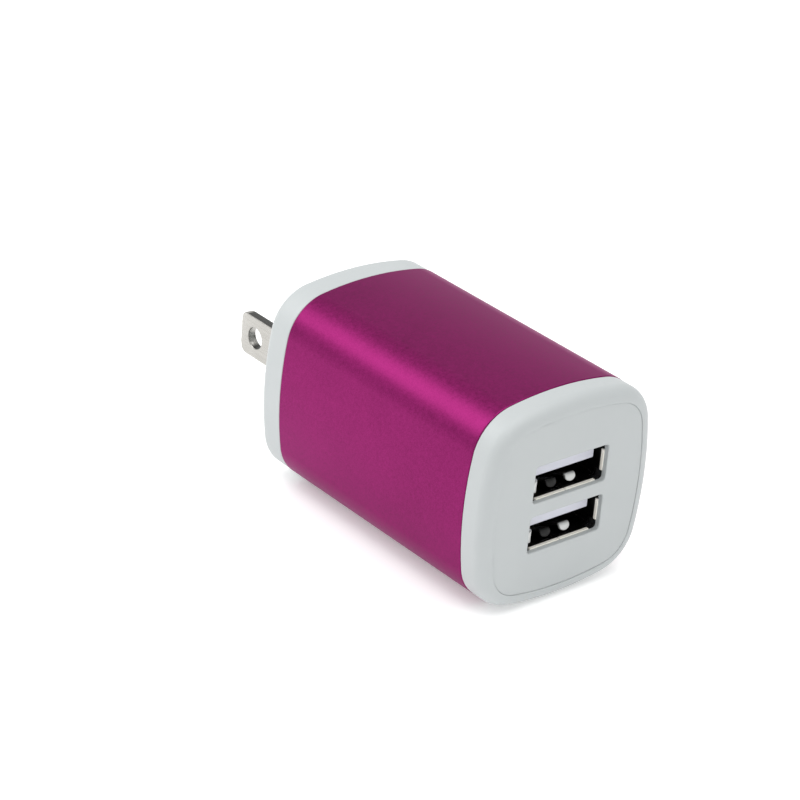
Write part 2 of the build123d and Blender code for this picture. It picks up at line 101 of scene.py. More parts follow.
SHELL_WIDTH = upper_high.x - upper_low.x
SHELL_HEIGHT = 5.72 * MM
SHELL_SHEET = 0.3 * MM
SHELL_DEPTH = 14.0 * MM
SHELL_CORNER = 0.6 * MM
SHELL_NOTCH = 1.3 * MM
SHELL_SEAM = 0.1 * MM
SHELL_EDGE = 0.05 * MM
NOTCH_CORNER = 0.3 * MM
LEG_CORNER = 0.35 * MM
MOUTH_RIM = 0.36 * MM
RIM_FADE = 0.12 * MM
CREST_FADE = 0.25 * MM
FINGER_WIDTH = 1.7 * MM
FINGER_LENGTH = 3.2 * MM
FINGER_RISE = 1.5 * MM
FINGER_CREST = 0.4 * MM
FINGER_LIFT = 0.5 * MM
FINGER_BEND = 0.35 * MM
BOTTOM_FINGER_START = 1.0 * MM
SIDE_FINGER_START = 0.1 * MM
TIP_ROUND = 0.6 * MM
TIP_STEPS = 8
TIP_LEAST = 0.18  # share of the finger's width left at its tip
FINGER_EDGE = 0.06 * MM
FINGER_SLOT = 0.25 * MM
BOTTOM_FINGER_OFFSET = 1.7 * MM
SIDE_FINGER_DROP = 0.85 * MM

TONGUE_WIDTH = 11.1 * MM
TONGUE_THICKNESS = 1.84 * MM
TONGUE_DROP = 0.66 * MM
SOCKET_DEPTH = 12.0 * MM
CONTACT_PLACES = [x * MM for x in (-3.5, -1.0, 1.0, 3.5)]
CONTACT_WIDTH = 1.0 * MM
TONGUE_CHAMFER = 0.15 * MM
LEG_WIDTH = 1.6 * MM
INSERT_CORNER = 0.3 * MM
TONGUE_EDGE = 0.07 * MM
CHANNEL_SLACK = 0.04 * MM
CONTACT_NOSE = 0.2 * MM
CONTACT_EDGE = 0.04 * MM

BLADE_THICKNESS = blade_high.x - blade_low.x
BLADE_WIDTH = 6.35 * MM
BLADE_HOLE = 3.2 * MM
BLADE_HOLE_DISTANCE = 11.9 * MM
BLADE_TIP_TAPER = 1.5 * MM
BLADE_TIP_RADIUS = 1.6 * MM
BLADE_EDGE = 0.16 * MM
SHOULDER_DEPTH = 1.8 * MM
UNSHADED_TIP = 1.6 * MM
TIP_FADE = 0.25 * MM
TIP_THINNING = 0.48  # share of the thickness lost at the very tip
TIP_CURVE = 1.6
TAIL_REACH = 2.0 * MM
SLOT_SLACK = 0.06 * MM
SLOT_EDGE = 0.15 * MM

SOCKETS = {
    "upper": (upper_low.z + upper_high.z) / 2,
    "lower": (lower_low.z + lower_high.z) / 2,
}

# Where the side and corner arcs of the section meet.
side_centre = BODY_HALF - SIDE_RADIUS
arc_reach = SIDE_RADIUS - CORNER_RADIUS
corner_centre = (side_centre + math.sqrt(2 * arc_reach**2 - side_centre**2)) / 2
meeting_angle = math.atan2(corner_centre, corner_centre - side_centre)


# ---- modelling helpers ----
def leave_edit():
    if bpy.context.object and bpy.context.object.mode == "EDIT":
        bpy.ops.object.mode_set(mode="OBJECT")


def only(piece):
    """Makes one piece the only selected and active one."""
    leave_edit()
    bpy.ops.object.select_all(action="DESELECT")
    piece.select_set(True)
    bpy.context.view_layer.objects.active = piece


def enter_edit(piece, mode="VERT"):
    only(piece)
    bpy.ops.object.mode_set(mode="EDIT")
    bpy.ops.mesh.select_mode(type=mode)
    bpy.ops.mesh.select_all(action="DESELECT")


def pick(kind, test):
    """In edit mode, selects just the vertices, edges or faces that pass a test."""
    bpy.ops.mesh.select_mode(type={"verts": "VERT", "edges": "EDGE", "faces": "FACE"}[kind])
    bpy.ops.mesh.select_all(action="DESELECT")
    mesh = bmesh.from_edit_mesh(bpy.context.object.data)
    found = 0
    for item in getattr(mesh, kind):
        if test(item):
            item.select_set(True)
            found += 1
    mesh.select_flush_mode()
    bmesh.update_edit_mesh(bpy.context.object.data)
    return found


def near(value, target, slack=2e-6):
    return abs(value - target) < slack


def edge_at(y):
    """A test for edges that lie in the plane across the body at one depth."""
    return lambda edge: all(near(vert.co.y, y) for vert in edge.verts)


def level_edge_at(y):
    """A test for level edges in the plane across the body at one depth."""
    return lambda edge: edge_at(y)(edge) and near(edge.verts[0].co.z, edge.verts[1].co.z)


def face_at(y):
    return lambda face: abs(face.normal.y) > 0.99 and near(face.calc_center_median().y, y)


def move(x=0.0, y=0.0, z=0.0):
    bpy.ops.transform.translate(value=(x, y, z))


def extrude_faces(y):
    bpy.ops.mesh.extrude_region_move(TRANSFORM_OT_translate={"value": (0, y, 0)})


def bevel(width, segments, kind="EDGES"):
    bpy.ops.mesh.bevel(offset=width, segments=segments, profile=0.5, affect=kind, clamp_overlap=False)


def apply_modifier(piece, kind, **settings):
    only(piece)
    modifier = piece.modifiers.new(kind.lower(), kind)
    for name, value in settings.items():
        setattr(modifier, name, value)
    bpy.ops.object.modifier_apply(modifier=modifier.name)


def ease_edges(piece, width, segments, sharp_angle):
    """Bevels the edges that turn by more than an angle in degrees."""
    limit = math.radians(sharp_angle)
    apply_modifier(
        piece, "BEVEL", width=width, segments=segments, limit_method="ANGLE", angle_limit=limit
    )


def start_block(name, low, high):
    """A box from its lowest to its highest corner, with its place in its mesh."""
    leave_edit()
    bpy.ops.object.select_all(action="DESELECT")
    centre = (Vector(low) + Vector(high)) / 2
    size = Vector(high) - Vector(low)
    bpy.ops.mesh.primitive_cube_add(size=1, location=centre, scale=size)
    bpy.ops.object.transform_apply(location=True, rotation=True, scale=True)
    piece = bpy.context.object
    piece.name = name
    return piece


def round_along(piece, axis, radius, segments):
    """Rounds the four edges of a box that run along one axis."""
    enter_edit(piece, "EDGE")
    others = [index for index in range(3) if index != axis]

    def runs_along(edge):
        difference = edge.verts[0].co - edge.verts[1].co
        return all(abs(difference[index]) < 1e-7 for index in others)

    pick("edges", runs_along)
    bevel(radius, segments)
    leave_edit()


def cut(piece, *cutters):
    """Cuts closed shapes out of a piece."""
    for cutter in cutters:
        apply_modifier(piece, "BOOLEAN", operation="DIFFERENCE", solver="EXACT", object=cutter)
        bpy.data.objects.remove(cutter, do_unlink=True)


def join(piece, *others):
    only(piece)
    for other in others:
        other.select_set(True)
    bpy.ops.object.join()
    return piece


def duplicate(piece, name, x=0.0, y=0.0, z=0.0):
    """A copy with its own mesh, moved in its mesh."""
    only(piece)
    bpy.ops.object.duplicate(linked=False)
    copy = bpy.context.object
    copy.name = name
    copy.data.transform(Matrix.Translation((x, y, z)))
    return copy


def spin_arc(centre_x, centre_z, y, angle, steps):
    """Carries the selected point round a centre in the section's plane."""
    bpy.ops.mesh.spin(steps=steps, angle=angle, center=(centre_x, y, AXIS_Z + centre_z), axis=(0, 1, 0))


def trace_section(name, inset, y, side_steps=10, corner_steps=14):
    """Draws the body's closed outline, moved inward by inset, with one spin for each arc."""
    leave_edit()
    bpy.ops.object.select_all(action="DESELECT")
    bpy.ops.mesh.primitive_plane_add(size=MM)
    piece = bpy.context.object
    piece.name = name
    enter_edit(piece)
    bpy.ops.mesh.select_all(action="SELECT")
    bpy.ops.mesh.merge(type="CENTER")
    reach = SIDE_RADIUS - inset
    start_x = side_centre + reach * math.cos(meeting_angle)
    start_z = -reach * math.sin(meeting_angle)
    move(start_x, y, AXIS_Z + start_z)
    corner_angle = math.pi / 2 - 2 * meeting_angle
    for quarter in range(4):
        turn = Matrix.Rotation(quarter * math.pi / 2, 2)
        side = turn @ Vector((side_centre, 0))
        corner = turn @ Vector((corner_centre, corner_centre))
        spin_arc(side.x, side.y, y, 2 * meeting_angle, side_steps)
        spin_arc(corner.x, corner.y, y, corner_angle, corner_steps)
    bpy.ops.mesh.select_all(action="SELECT")
    bpy.ops.mesh.remove_doubles(threshold=1e-7)
    bpy.ops.mesh.select_all(action="SELECT")
    return piece


def start_section(name, inset, front, rear):
    """A closed solid with the body's outline, between two depths."""
    piece = trace_section(name, inset, rear)
    bpy.ops.mesh.edge_face_add()
    bpy.ops.mesh.select_mode(type="FACE")
    bpy.ops.mesh.select_all(action="SELECT")
    extrude_faces(front - rear)
    bpy.ops.mesh.select_all(action="SELECT")
    bpy.ops.mesh.normals_make_consistent(inside=False)
    leave_edit()
    return piece


def finish_piece(piece, material, slot, *nodes, angle=35):
    """Smooth shading that keeps flats flat, the material, and hiding the CAD nodes that the piece replaces.
    """
    leave_edit()
    enter_edit(piece)
    bpy.ops.mesh.select_all(action="SELECT")
    bpy.ops.mesh.remove_doubles(threshold=1e-7)
    bpy.ops.mesh.normals_make_consistent(inside=False)
    leave_edit()
    only(piece)
    bpy.ops.object.shade_smooth_by_angle(angle=math.radians(angle))
    apply_modifier(piece, "WEIGHTED_NORMAL", mode="FACE_AREA", keep_sharp=True, weight=60)
    bpy.ops.object.transform_apply(location=True, rotation=True, scale=True)
    if not piece.data.materials:
        piece.data.materials.append(material)
    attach(piece, "root")
    if nodes:
        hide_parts(*nodes)
    return piece


# ---- shared shader effects ----
def new_group(name, inputs, outputs):
    """A shader node group: inputs and outputs are (name, kind, default)."""
    group = bpy.data.node_groups.new(name, "ShaderNodeTree")
    for direction, sockets in (("INPUT", inputs), ("OUTPUT", outputs)):
        for socket_name, kind, default in sockets:
            socket = group.interface.new_socket(name=socket_name, in_out=direction, socket_type=kind)
            if default is not None:
                socket.default_value = default
    start = group.nodes.new("NodeGroupInput")
    end = group.nodes.new("NodeGroupOutput")
    return group, start, end


FLOAT, COLOUR, VECTOR = "NodeSocketFloat", "NodeSocketColor", "NodeSocketVector"


def add_node(tree, kind, **values):
    """A node whose named input sockets and settings are given by name."""
    node = tree.nodes.new(kind)
    for name, value in values.items():
        if name in node.inputs:
            node.inputs[name].default_value = value
        else:
            setattr(node, name, value)
    return node


def make_blast_grain():
    """The fine matt grain of a blasted surface, as a height and a speckle."""
    group, start, end = new_group(
        "blast_grain",
        [("Vector", VECTOR, None), ("Grains", FLOAT, 5000.0), ("Clumping", FLOAT, 0.35)],
        [("Height", FLOAT, None), ("Speckle", FLOAT, None)],
    )
    fine = add_node(group, "ShaderNodeTexNoise", Detail=2.0, Roughness=0.6)
    coarse = add_node(group, "ShaderNodeTexNoise", Detail=1.0, Roughness=0.5)
    ratio = add_node(group, "ShaderNodeMath", operation="MULTIPLY")
    ratio.inputs[1].default_value = 0.3
    blend = add_node(group, "ShaderNodeMix", data_type="FLOAT")
    spread = add_node(group, "ShaderNodeMapRange")
    spread.inputs["From Min"].default_value = 0.35
    spread.inputs["From Max"].default_value = 0.65
    link = group.links.new
    link(start.outputs["Vector"], fine.inputs["Vector"])
    link(start.outputs["Vector"], coarse.inputs["Vector"])
    link(start.outputs["Grains"], fine.inputs["Scale"])
    link(start.outputs["Grains"], ratio.inputs[0])
    link(ratio.outputs[0], coarse.inputs["Scale"])
    link(start.outputs["Clumping"], blend.inputs["Factor"])
    link(fine.outputs["Fac"], blend.inputs["A"])
    link(coarse.outputs["Fac"], blend.inputs["B"])
    link(blend.outputs["Result"], spread.inputs["Value"])
    link(blend.outputs["Result"], end.inputs["Height"])
    link(spread.outputs["Result"], end.inputs["Speckle"])
    return group


def make_tone_drift():
    """Two tones of one colour that drift into each other over some millimetres."""
    group, start, end = new_group(
        "tone_drift",
        [
            ("Vector", VECTOR, None),
            ("Scale", FLOAT, 120.0),
            ("Tone A", COLOUR, (0.5, 0.5, 0.5, 1)),
            ("Tone B", COLOUR, (0.4, 0.4, 0.4, 1)),
        ],
        [("Colour", COLOUR, None), ("Drift", FLOAT, None)],
    )
    cloud = add_node(group, "ShaderNodeTexNoise", Detail=3.0, Roughness=0.55)
    spread = add_node(group, "ShaderNodeMapRange")
    spread.inputs["From Min"].default_value = 0.3
    spread.inputs["From Max"].default_value = 0.7
    blend = add_node(group, "ShaderNodeMix", data_type="RGBA")
    link = group.links.new
    link(start.outputs["Vector"], cloud.inputs["Vector"])
    link(start.outputs["Scale"], cloud.inputs["Scale"])
    link(cloud.outputs["Fac"], spread.inputs["Value"])
    link(spread.outputs["Result"], blend.inputs[0])
    link(start.outputs["Tone A"], blend.inputs[6])
    link(start.outputs["Tone B"], blend.inputs[7])
    link(blend.outputs[2], end.inputs["Colour"])
    link(spread.outputs["Result"], end.inputs["Drift"])
    return group


def make_drawn_lines():
    """Fine lines, as rolled or drawn metal has. Lines gives their fineness along each axis."""
    group, start, end = new_group(
        "drawn_lines",
        [("Vector", VECTOR, None), ("Lines", VECTOR, (9000.0, 200.0, 9000.0)), ("Contrast", FLOAT, 0.5)],
        [("Height", FLOAT, None), ("Streak", FLOAT, None)],
    )
    squeeze = add_node(group, "ShaderNodeVectorMath", operation="MULTIPLY")
    lines = add_node(group, "ShaderNodeTexNoise", Scale=1.0, Detail=3.0, Roughness=0.65)
    spread = add_node(group, "ShaderNodeMapRange")
    spread.inputs["From Min"].default_value = 0.3
    spread.inputs["From Max"].default_value = 0.7
    weight = add_node(group, "ShaderNodeMath", operation="MULTIPLY")
    link = group.links.new
    link(start.outputs["Vector"], squeeze.inputs[0])
    link(start.outputs["Lines"], squeeze.inputs[1])
    link(squeeze.outputs[0], lines.inputs["Vector"])
    link(lines.outputs["Fac"], spread.inputs["Value"])
    link(spread.outputs["Result"], weight.inputs[0])
    link(start.outputs["Contrast"], weight.inputs[1])
    link(lines.outputs["Fac"], end.inputs["Height"])
    link(weight.outputs[0], end.inputs["Streak"])
    return group


blast_grain = make_blast_grain()
tone_drift = make_tone_drift()
drawn_lines = make_drawn_lines()


# ---- materials ----
class Finish:
    """A material under construction: its tree, its shader and its object coordinates."""

    def __init__(self, name, **shader):
        self.material = bpy.data.materials.new(name)
        self.material.use_nodes = True
        self.tree = self.material.node_tree
        self.shader = self.tree.nodes["Principled BSDF"]
        for socket, value in shader.items():
            self.shader.inputs[socket.replace("_", " ")].default_value = value
        self.place = self.tree.nodes.new("ShaderNodeTexCoord").outputs["Object"]

    def link(self, a, b):
        self.tree.links.new(a, b)

    def group(self, group, **values):
        node = self.tree.nodes.new("ShaderNodeGroup")
        node.node_tree = group
        for name, value in values.items():
            node.inputs[name.replace("_", " ")].default_value = value
        self.link(self.place, node.inputs["Vector"])
        return node

    def vary(self, source, low, high, socket):
        """A shader input that follows a mask from low to high."""
        spread = self.tree.nodes.new("ShaderNodeMapRange")
        spread.inputs["To Min"].default_value = low
        spread.inputs["To Max"].default_value = high
        self.link(source, spread.inputs["Value"])
        self.link(spread.outputs["Result"], self.shader.inputs[socket])

    def along(self, start, end):
        """A mask that goes from 0 to 1 between two depths along the body."""
        split = self.tree.nodes.new("ShaderNodeSeparateXYZ")
        rise = self.tree.nodes.new("ShaderNodeMapRange")
        rise.inputs["From Min"].default_value = start
        rise.inputs["From Max"].default_value = end
        self.link(self.place, split.inputs[0])
        self.link(split.outputs["Y"], rise.inputs["Value"])
        return rise.outputs["Result"]

    def bump(self, height, strength, distance):
        node = self.tree.nodes.new("ShaderNodeBump")
        node.inputs["Strength"].default_value = strength
        node.inputs["Distance"].default_value = distance
        self.link(height, node.inputs["Height"])
        self.link(node.outputs["Normal"], self.shader.inputs["Normal"])

    def tint(self, colour, mask, other, amount):
        """Mixes another colour over one, where a mask is high."""
        scale = self.tree.nodes.new("ShaderNodeMath")
        scale.operation = "MULTIPLY"
        scale.inputs[1].default_value = amount
        blend = self.tree.nodes.new("ShaderNodeMix")
        blend.data_type = "RGBA"
        self.link(mask, scale.inputs[0])
        self.link(scale.outputs[0], blend.inputs[0])
        self.link(colour, blend.inputs[6])
        blend.inputs[7].default_value = other
        return blend.outputs[2]


def anodised_magenta():
    finish = Finish("anodised_magenta", Metallic=1.0, Coat_Weight=0.06, Coat_Roughness=0.34)
    finish.shader.inputs["Specular Tint"].default_value = (0.95, 0.7, 0.85, 1)
    tone_a, tone_b = (0.182, 0.008, 0.084, 1), (0.160, 0.007, 0.073, 1)
    tone = finish.group(tone_drift, Scale=90.0, Tone_A=tone_a, Tone_B=tone_b)
    grain = finish.group(blast_grain, Grains=6500.0, Clumping=0.25)
    colour = finish.tint(tone.outputs["Colour"], grain.outputs["Speckle"], (0.48, 0.036, 0.25, 1), 0.27)
    finish.link(colour, finish.shader.inputs["Base Color"])
    finish.vary(grain.outputs["Speckle"], 0.34, 0.46, "Roughness")
    finish.bump(grain.outputs["Height"], 0.35, 0.02 * MM)
    return finish.material


def moulded_plastic(name, tone_a, tone_b, low, high, grains=3500.0, strength=0.12):
    """A moulded plastic with a very fine spark-eroded skin and a slight drift of tone."""
    finish = Finish(name, Specular_IOR_Level=0.5, IOR=1.5)
    tone = finish.group(tone_drift, Scale=70.0, Tone_A=tone_a, Tone_B=tone_b)
    grain = finish.group(blast_grain, Grains=grains, Clumping=0.5)
    finish.link(tone.outputs["Colour"], finish.shader.inputs["Base Color"])
    finish.vary(grain.outputs["Speckle"], low, high, "Roughness")
    finish.bump(grain.outputs["Height"], strength, 0.02 * MM)
    return finish.material


def drawn_metal(name, tone_a, tone_b, lines, low, high, strength=0.15, scale=160.0):
    """A plated metal with drawing lines."""
    finish = Finish(name, Metallic=1.0)
    tone = finish.group(tone_drift, Scale=scale, Tone_A=tone_a, Tone_B=tone_b)
    streaks = finish.group(drawn_lines, Lines=lines, Contrast=1.0)
    colour = finish.tint(tone.outputs["Colour"], streaks.outputs["Streak"], tone_b, 0.5)
    finish.link(colour, finish.shader.inputs["Base Color"])
    finish.vary(streaks.outputs["Streak"], low, high, "Roughness")
    finish.bump(streaks.outputs["Height"], strength, 0.01 * MM)
    return finish.material


def nickel_blade():
    """Brushed nickel on the broad sides, with painted shade making the narrow faces near black, and a
    lighter tip left without it.
    """
    finish = Finish("nickel_blade")
    tone_a, tone_b = (0.46, 0.45, 0.425, 1), (0.39, 0.38, 0.355, 1)
    tone = finish.group(tone_drift, Scale=160.0, Tone_A=tone_a, Tone_B=tone_b)
    streaks = finish.group(drawn_lines, Lines=(6000.0, 120.0, 6000.0), Contrast=1.0)
    brushed = finish.tint(tone.outputs["Colour"], streaks.outputs["Streak"], (0.33, 0.32, 0.30, 1), 0.5)
    facing = finish.tree.nodes.new("ShaderNodeSeparateXYZ")
    finish.link(finish.tree.nodes["Texture Coordinate"].outputs["Normal"], facing.inputs[0])
    upright = finish.tree.nodes.new("ShaderNodeMath")
    upright.operation = "ABSOLUTE"
    finish.link(facing.outputs["Z"], upright.inputs[0])
    narrow = finish.tree.nodes.new("ShaderNodeMapRange")
    narrow.inputs["From Min"].default_value = 0.80
    narrow.inputs["From Max"].default_value = 0.97
    finish.link(upright.outputs[0], narrow.inputs["Value"])
    below_tip = finish.along(blade_high.y - UNSHADED_TIP, blade_high.y - UNSHADED_TIP - TIP_FADE)
    shaded_narrow_faces = finish.tree.nodes.new("ShaderNodeMath")
    shaded_narrow_faces.operation = "MULTIPLY"
    finish.link(narrow.outputs["Result"], shaded_narrow_faces.inputs[0])
    finish.link(below_tip, shaded_narrow_faces.inputs[1])
    # Painted shade: the narrow faces that face up and down are turned near black, short of the tip.
    colour = finish.tint(brushed, shaded_narrow_faces.outputs[0], (0.020, 0.020, 0.017, 1), 1.0)
    finish.link(colour, finish.shader.inputs["Base Color"])
    finish.vary(shaded_narrow_faces.outputs[0], 1.0, 0.2, "Metallic")
    finish.vary(streaks.outputs["Streak"], 0.20, 0.34, "Roughness")
    finish.bump(streaks.outputs["Height"], 0.15, 0.01 * MM)
    return finish.material


def spring_finger(name, tone_a, tone_b):
    """Spring metal that is bright as far as the finger's crest, with a painted shadow making it dark behind
    the crest.
    """
    finish = Finish(name, Metallic=0.5)
    tone = finish.group(tone_drift, Scale=300.0, Tone_A=tone_a, Tone_B=tone_b)
    streaks = finish.group(drawn_lines, Lines=(7000.0, 300.0, 7000.0), Contrast=1.0)
    crest_y = upper_low.y + BOTTOM_FINGER_START + FINGER_CREST
    # Behind the crest the colour turns near black: a painted shadow, as if cast by the tongue.
    shadow_behind_crest = finish.along(crest_y, crest_y + CREST_FADE)
    colour = finish.tint(tone.outputs["Colour"], shadow_behind_crest, (0.008, 0.008, 0.008, 1), 1.0)
    finish.link(colour, finish.shader.inputs["Base Color"])
    finish.vary(streaks.outputs["Streak"], 0.35, 0.5, "Roughness")
    finish.bump(streaks.outputs["Height"], 0.1, 0.01 * MM)
    return finish.material


def socket_sheet():
    """Tinned sheet that is pale and bright at the socket's mouth, with painted shade making it dark further
    in.
    """
    finish = Finish("socket_sheet")
    tone = finish.group(tone_drift, Scale=200.0, Tone_A=(1.0, 0.97, 0.89, 1), Tone_B=(0.97, 0.94, 0.85, 1))
    streaks = finish.group(drawn_lines, Lines=(7000.0, 300.0, 7000.0), Contrast=1.0)
    rim_y = upper_low.y + MOUTH_RIM
    # Past the mouth's rim the colour turns near black: painted shade for the inside of the socket.
    shade_behind_rim = finish.along(rim_y, rim_y + RIM_FADE)
    colour = finish.tint(tone.outputs["Colour"], shade_behind_rim, (0.035, 0.033, 0.032, 1), 1.0)
    finish.link(colour, finish.shader.inputs["Base Color"])
    finish.vary(shade_behind_rim, 0.1, 1.0, "Metallic")
    finish.vary(streaks.outputs["Streak"], 0.28, 0.42, "Roughness")
    finish.bump(streaks.outputs["Height"], 0.1, 0.01 * MM)
    return finish.material


FINISHES = {
    "anodised_aluminium": anodised_magenta(),
    "white_plastic": moulded_plastic(
        "white_shell", (0.452, 0.477, 0.480, 1), (0.436, 0.462, 0.466, 1), 0.40, 0.50
    ),
    "inner_plastic": moulded_plastic(
        "dark_housing", (0.020, 0.020, 0.022, 1), (0.012, 0.012, 0.013, 1), 0.5, 0.62
    ),
    "nickel_plate": nickel_blade(),
    "tinned_bronze": drawn_metal(
        "tinned_bronze", (0.66, 0.65, 0.62, 1), (0.55, 0.54, 0.52, 1), (5000.0, 400.0, 5000.0), 0.3, 0.42
    ),
    "socket_steel": socket_sheet(),
    "gold_contact": drawn_metal(
        "gold_contact", (0.83, 0.60, 0.24, 1), (0.76, 0.53, 0.20, 1), (7000.0, 250.0, 7000.0), 0.2, 0.32
    ),
    "socket_plastic": moulded_plastic(
        "socket_insert", (0.62, 0.63, 0.70, 1), (0.58, 0.59, 0.66, 1), 0.4, 0.5
    ),
    "bobbin_plastic": moulded_plastic(
        "bobbin", (0.015, 0.015, 0.016, 1), (0.03, 0.028, 0.026, 1), 0.35, 0.5
    ),
    "barrier_film": moulded_plastic(
        "barrier_film", (0.62, 0.62, 0.56, 1), (0.55, 0.55, 0.50, 1), 0.25, 0.4
    ),
    "polyester_tape": moulded_plastic(
        "polyester_tape", (0.75, 0.55, 0.05, 1), (0.66, 0.46, 0.03, 1), 0.2, 0.35
    ),
    "capacitor_sleeve": moulded_plastic(
        "capacitor_sleeve", (0.02, 0.03, 0.08, 1), (0.014, 0.02, 0.06, 1), 0.25, 0.36
    ),
    "resistor_coating": moulded_plastic(
        "resistor_coating", (0.16, 0.26, 0.18, 1), (0.12, 0.21, 0.15, 1), 0.5, 0.65
    ),
    "disc_coating": moulded_plastic(
        "disc_coating", (0.02, 0.09, 0.38, 1), (0.015, 0.07, 0.30, 1), 0.3, 0.42
    ),
    "chip_plastic": moulded_plastic(
        "chip_moulding", (0.018, 0.018, 0.019, 1), (0.03, 0.03, 0.031, 1), 0.55, 0.7
    ),
    "chip_ceramic": moulded_plastic(
        "chip_ceramic", (0.30, 0.22, 0.14, 1), (0.22, 0.16, 0.10, 1), 0.4, 0.55
    ),
    "ferrite": moulded_plastic(
        "ferrite", (0.035, 0.034, 0.034, 1), (0.06, 0.057, 0.055, 1), 0.6, 0.8, 2500.0, 0.5
    ),
    "board": moulded_plastic(
        "board_laminate", (0.015, 0.11, 0.035, 1), (0.02, 0.15, 0.05, 1), 0.3, 0.42
    ),
    "copper_wire": drawn_metal(
        "copper_wire", (0.62, 0.22, 0.07, 1), (0.42, 0.12, 0.04, 1), (300.0, 9000.0, 9000.0), 0.25, 0.4, 0.6
    ),
}

# Two copies of the finger metal: a lit one, and a near-black one that is painted shade for a finger lying
# in shadow.
lit_finger = spring_finger("lit_finger", (0.66, 0.67, 0.66, 1), (0.58, 0.59, 0.58, 1))
shaded_finger = spring_finger("shaded_finger", (0.014, 0.014, 0.014, 1), (0.010, 0.010, 0.010, 1))


# ---- camera, floor and light ----
CAMERA_AZIMUTH = math.radians(-41.42)
CAMERA_ELEVATION = math.radians(26.71)
CAMERA_ROLL = math.radians(5.06)
CAMERA_DISTANCE = 373.9 * MM
CAMERA_AIM = Vector((-1.6, 1.5, 15.2)) * MM
CAMERA_LENS = 121.5


def place_camera():
    back = Vector(
        (
            math.sin(CAMERA_AZIMUTH) * math.cos(CAMERA_ELEVATION),
            -math.cos(CAMERA_AZIMUTH) * math.cos(CAMERA_ELEVATION),
            math.sin(CAMERA_ELEVATION),
        )
    )
    level = Vector((math.cos(CAMERA_AZIMUTH), math.sin(CAMERA_AZIMUTH), 0))
    up = back.cross(level)
    right = level * math.cos(CAMERA_ROLL) + up * math.sin(CAMERA_ROLL)
    top = back.cross(right)
    lens = bpy.data.cameras.new("camera")
    lens.lens = CAMERA_LENS
    lens.sensor_width = 36.0
    lens.clip_start = 0.02
    camera = bpy.data.objects.new("camera", lens)
    bpy.context.scene.collection.objects.link(camera)
    turn = Matrix((right, top, back)).transposed()
    camera.matrix_world = Matrix.Translation(CAMERA_AIM + back * CAMERA_DISTANCE) @ turn.to_4x4()
    bpy.context.scene.camera = camera


def make_floor():
    leave_edit()
    bpy.ops.object.select_all(action="DESELECT")
    bpy.ops.mesh.primitive_circle_add(vertices=96, radius=4.0, fill_type="NGON")
    floor = bpy.context.object
    floor.name = "floor"
    finish = Finish("floor_white", Roughness=0.7, Specular_IOR_Level=0.2, Emission_Strength=0.27)
    finish.shader.inputs["Emission Color"].default_value = (1, 1, 1, 1)
    tone = finish.group(tone_drift, Scale=6.0, Tone_A=(0.91, 0.91, 0.91, 1), Tone_B=(0.90, 0.90, 0.90, 1))
    finish.link(tone.outputs["Colour"], finish.shader.inputs["Base Color"])
    floor.data.materials.append(finish.material)


def add_soft_light(name, place, aim, width, height, power):
    """A rectangular white light at a place, turned to its aim."""
    light = bpy.data.lights.new(name, "AREA")
    light.shape = "RECTANGLE"
    light.size, light.size_y = width, height
    light.energy = power
    lamp = bpy.data.objects.new(name, light)
    bpy.context.scene.collection.objects.link(lamp)
    direction = Vector(aim) - Vector(place)
    lamp.location = place
    lamp.rotation_euler = direction.to_track_quat("-Z", "Y").to_euler()


def make_sky():
    """A white room, brightest at the horizon and dimmer overhead."""
    world = bpy.data.worlds.new("white_room")
    bpy.context.scene.world = world
    world.use_nodes = True
    tree = world.node_tree
    background = tree.nodes["Background"]
    place = tree.nodes.new("ShaderNodeTexCoord")
    split = tree.nodes.new("ShaderNodeSeparateXYZ")
    ramp = tree.nodes.new("ShaderNodeMapRange")
    ramp.inputs["From Min"].default_value = 0.05
    ramp.inputs["From Max"].default_value = 0.9
    ramp.inputs["To Min"].default_value = 1.0
    ramp.inputs["To Max"].default_value = 0.55
    tree.links.new(place.outputs["Generated"], split.inputs[0])
    tree.links.new(split.outputs["Z"], ramp.inputs["Value"])
    tree.links.new(ramp.outputs["Result"], background.inputs["Strength"])
    background.inputs["Color"].default_value = (1, 1, 1, 1)


place_camera()
make_floor()
make_sky()
add_soft_light("top_light", (0.0, -0.05, 0.75), (0, 0, 0.015), 0.8, 0.8, 4.0)
add_soft_light("corner_light", (-0.115, 0.10, 0.16), (-0.010, -0.024, 0.026), 0.12, 0.14, 0.15)
view = bpy.context.scene.view_settings
view.view_transform = "Standard"
view.look = "None"


# ---- casing ----
def make_sleeve():
    """The anodised tube, with a broken edge at both ends."""
    piece = trace_section("anodised_sleeve", 0.0, PORT_JOINT_Y, 12, 18)
    bpy.ops.mesh.select_mode(type="EDGE")
    bpy.ops.mesh.select_all(action="SELECT")
    bpy.ops.mesh.extrude_region_move(TRANSFORM_OT_translate={"value": (0, PLUG_JOINT_Y - PORT_JOINT_Y, 0)})
    bpy.ops.mesh.select_all(action="SELECT")
    bpy.ops.mesh.normals_make_consistent(inside=False)
    leave_edit()
    apply_modifier(piece, "SOLIDIFY", thickness=SLEEVE_WALL, offset=-1.0, use_even_offset=True)
    enter_edit(piece)

    def outer_rim(edge):
        if not (edge_at(PORT_JOINT_Y)(edge) or edge_at(PLUG_JOINT_Y)(edge)):
            return False
        return len(edge.link_faces) == 2 and any(outward(face) for face in edge.link_faces)

    def outward(face):
        middle = face.calc_center_median() - Vector((0, 0, AXIS_Z))
        return abs(face.normal.y) < 0.1 and face.normal.dot(Vector((middle.x, 0, middle.z))) > 0

    pick("edges", outer_rim)
    bevel(JOINT_CHAMFER, 3)
    return finish_piece(piece, FINISHES["anodised_aluminium"], "anodised_aluminium", "sleeve")


def window_cutter(z, width, height, radius, front, rear):
    cutter = start_block("window", (-width / 2, front, z - height / 2), (width / 2, rear, z + height / 2))
    round_along(cutter, 1, radius, 5)
    return cutter


